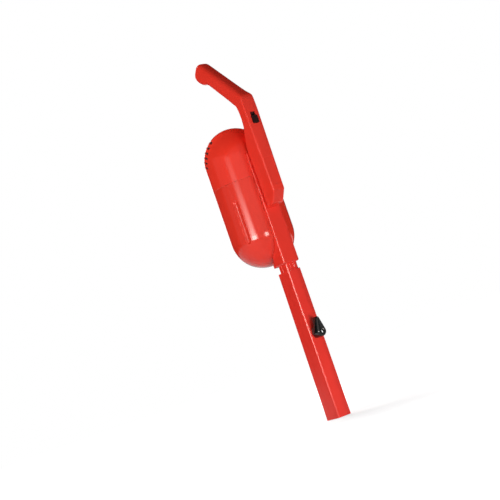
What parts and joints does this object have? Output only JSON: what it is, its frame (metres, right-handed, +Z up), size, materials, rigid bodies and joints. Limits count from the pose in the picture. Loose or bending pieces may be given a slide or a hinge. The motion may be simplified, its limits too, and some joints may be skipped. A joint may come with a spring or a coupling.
{
  "type": "stick vacuum cleaner",
  "caption": "Red upright stick vacuum with a capsule shaped barrel on a front air duct, bent grip with slide switch, rectangular wand and swivelling cord hook.",
  "frame": {"origin": "centre of the wand's open lower mouth, in the plane of its rim", "axes": "+Z up along the wand and the barrel, -Y to the front (switch and cord hook side), +X to the user's left when facing the front"},
  "size_m": [0.135, 0.1969, 0.7962],
  "materials": {
    "red": "glossy moulded plastic",
    "black": "glossy black moulded plastic",
    "black_matt": "fine textured black plastic",
    "rubber": "soft black rubber",
    "steel": "zinc plated steel",
    "laminations": "stacked sheet steel",
    "aluminium": "pressed and die cast aluminium",
    "copper": "enamelled copper",
    "brass": "folded brass sheet",
    "carbon": "pressed carbon",
    "foam": "open cell foam and fleece",
    "paper": "two ply filter paper",
    "card": "pressed card",
    "film": "yellow capacitor case"
  },
  "bodies": {
    "wand": {"extension_tube": "red"},
    "hook": {"cord_hook": "black", "hook_clip": "steel"},
    "armature": {"motor_shaft": "steel", "armature_core": "laminations", "commutator": "copper", "fan_impeller": "aluminium", "fan_nut": "steel"},
    "container": {"dust_container": "red", "bag_collar": "card", "dust_bag": "paper"},
    "switch": {"switch_slider": "black"},
    "cleaner": {"spigot": "red", "duct_frame": "red", "inlet_seal": "rubber", "frame_screws": "steel", "handle_left": "red", "handle_right": "red", "handle_screws": "steel", "switch_guide": "black_matt", "switch_body": "black_matt", "motor_housing": "red", "motor_base": "black_matt", "base_screws": "steel", "rim_seal": "rubber", "cord_gland": "rubber", "exhaust_foam": "foam", "pre_filter": "foam", "filter_grille": "black_matt", "lower_mount": "rubber", "fan_cover": "aluminium", "fan_casing": "aluminium", "diffuser": "black_matt", "lower_bracket": "aluminium", "lower_bearing": "steel", "stator_core": "laminations", "field_coils": "copper", "motor_bolts": "steel", "upper_bracket": "black_matt", "upper_bearing": "steel", "brush_holders": "brass", "carbon_brushes": "carbon", "upper_mount": "rubber", "suppressor": "film"}
  },
  "joints": [
    {"name": "wand_slide", "type": "slide", "parent": "wand", "child": "cleaner", "axis": [0, 0, 1], "range_m": [0, 0.065]},
    {"name": "hook_swivel", "type": "hinge", "parent": "wand", "child": "hook", "pos_m": [0, -0.022, 0.177], "axis": [0, 1, 0], "range_deg": [0, 180]},
    {"name": "container_slide", "type": "slide", "parent": "cleaner", "child": "container", "axis": [0, 1, 0], "range_m": [0, 0.08]},
    {"name": "switch_slide", "type": "slide", "parent": "cleaner", "child": "switch", "axis": [0, 0, 1], "range_m": [0, 0.008]},
    {"name": "armature_spin", "type": "hinge", "parent": "cleaner", "child": "armature", "pos_m": [0, 0.0456, 0.6], "axis": [0, 0, 1], "continuous": true}
  ]
}
